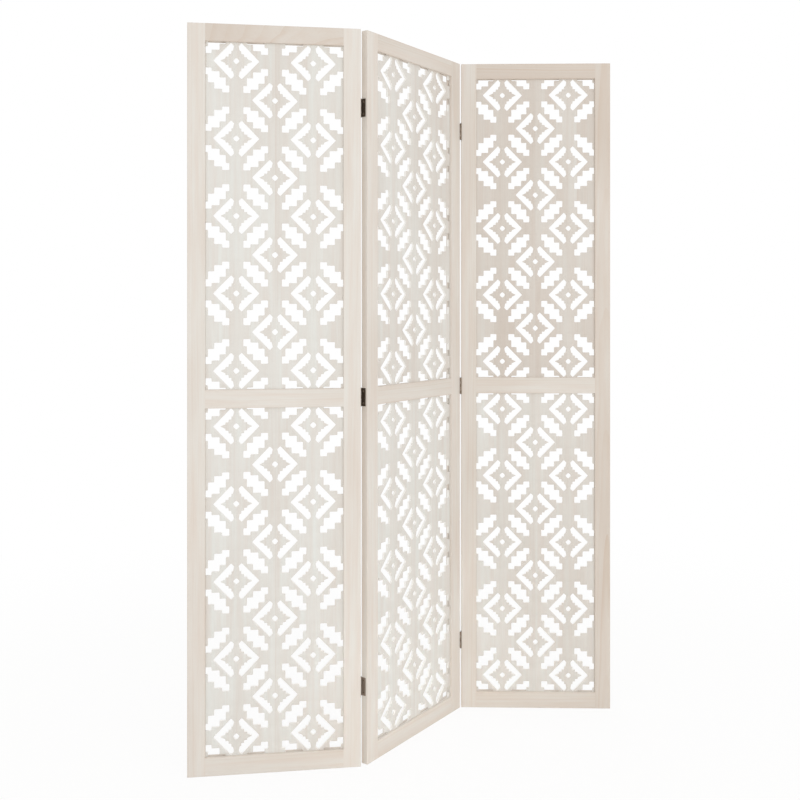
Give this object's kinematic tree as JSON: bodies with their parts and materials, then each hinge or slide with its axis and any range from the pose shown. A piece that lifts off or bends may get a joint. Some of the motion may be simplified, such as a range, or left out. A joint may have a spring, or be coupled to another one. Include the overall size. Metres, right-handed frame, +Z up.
{
  "type": "folding screen",
  "caption": "Free-standing zigzag folding screen of whitewashed wooden leaves, each a frame that holds stepped-diamond fretwork panels; the leaves fold flat on butt hinges.",
  "frame": {"origin": "middle of the standing screen's footprint box, on the floor", "axes": "+X to the right across the screen and along the right leaf, +Y away from the viewer, +Z up"},
  "size_m": [1.0248, 0.4092, 1.7],
  "materials": {
    "whitewashed_wood": "whitewashed, grain showing through, matt",
    "beech_dowel": "plain, unfinished",
    "bronzed_steel": "dark bronze, satin"
  },
  "bodies": {
    "centre_leaf": {"centre_leaf_bottom_rail": "whitewashed_wood", "centre_leaf_dowels": "beech_dowel", "centre_leaf_hinge_screws": "bronzed_steel", "centre_leaf_left_stile": "whitewashed_wood", "centre_leaf_lower_fret_panel": "whitewashed_wood", "centre_leaf_middle_rail": "whitewashed_wood", "centre_leaf_right_stile": "whitewashed_wood", "centre_leaf_top_rail": "whitewashed_wood", "centre_leaf_upper_fret_panel": "whitewashed_wood", "left_bottom_hinge_centre_plate": "bronzed_steel", "left_bottom_hinge_pin": "bronzed_steel", "left_middle_hinge_centre_plate": "bronzed_steel", "left_middle_hinge_pin": "bronzed_steel", "left_top_hinge_centre_plate": "bronzed_steel", "left_top_hinge_pin": "bronzed_steel", "right_bottom_hinge_centre_plate": "bronzed_steel", "right_bottom_hinge_pin": "bronzed_steel", "right_middle_hinge_centre_plate": "bronzed_steel", "right_middle_hinge_pin": "bronzed_steel", "right_top_hinge_centre_plate": "bronzed_steel", "right_top_hinge_pin": "bronzed_steel"},
    "left_leaf": {"left_bottom_hinge_plate": "bronzed_steel", "left_leaf_bottom_rail": "whitewashed_wood", "left_leaf_dowels": "beech_dowel", "left_leaf_hinge_screws": "bronzed_steel", "left_leaf_left_stile": "whitewashed_wood", "left_leaf_lower_fret_panel": "whitewashed_wood", "left_leaf_middle_rail": "whitewashed_wood", "left_leaf_right_stile": "whitewashed_wood", "left_leaf_top_rail": "whitewashed_wood", "left_leaf_upper_fret_panel": "whitewashed_wood", "left_middle_hinge_plate": "bronzed_steel", "left_top_hinge_plate": "bronzed_steel"},
    "right_leaf": {"right_bottom_hinge_plate": "bronzed_steel", "right_leaf_bottom_rail": "whitewashed_wood", "right_leaf_dowels": "beech_dowel", "right_leaf_hinge_screws": "bronzed_steel", "right_leaf_left_stile": "whitewashed_wood", "right_leaf_lower_fret_panel": "whitewashed_wood", "right_leaf_middle_rail": "whitewashed_wood", "right_leaf_right_stile": "whitewashed_wood", "right_leaf_top_rail": "whitewashed_wood", "right_leaf_upper_fret_panel": "whitewashed_wood", "right_middle_hinge_plate": "bronzed_steel", "right_top_hinge_plate": "bronzed_steel"}
  },
  "joints": [
    {"name": "left_fold", "type": "hinge", "parent": "centre_leaf", "child": "left_leaf", "pos_m": [-0.12437, -0.12494, 0.85], "axis": [0, 0, -1], "range_deg": [-46.05, 133.95]},
    {"name": "right_fold", "type": "hinge", "parent": "centre_leaf", "child": "right_leaf", "pos_m": [0.11931, 0.18552, 0.85], "axis": [0, 0, -1], "range_deg": [-54.95, 125.05]}
  ]
}
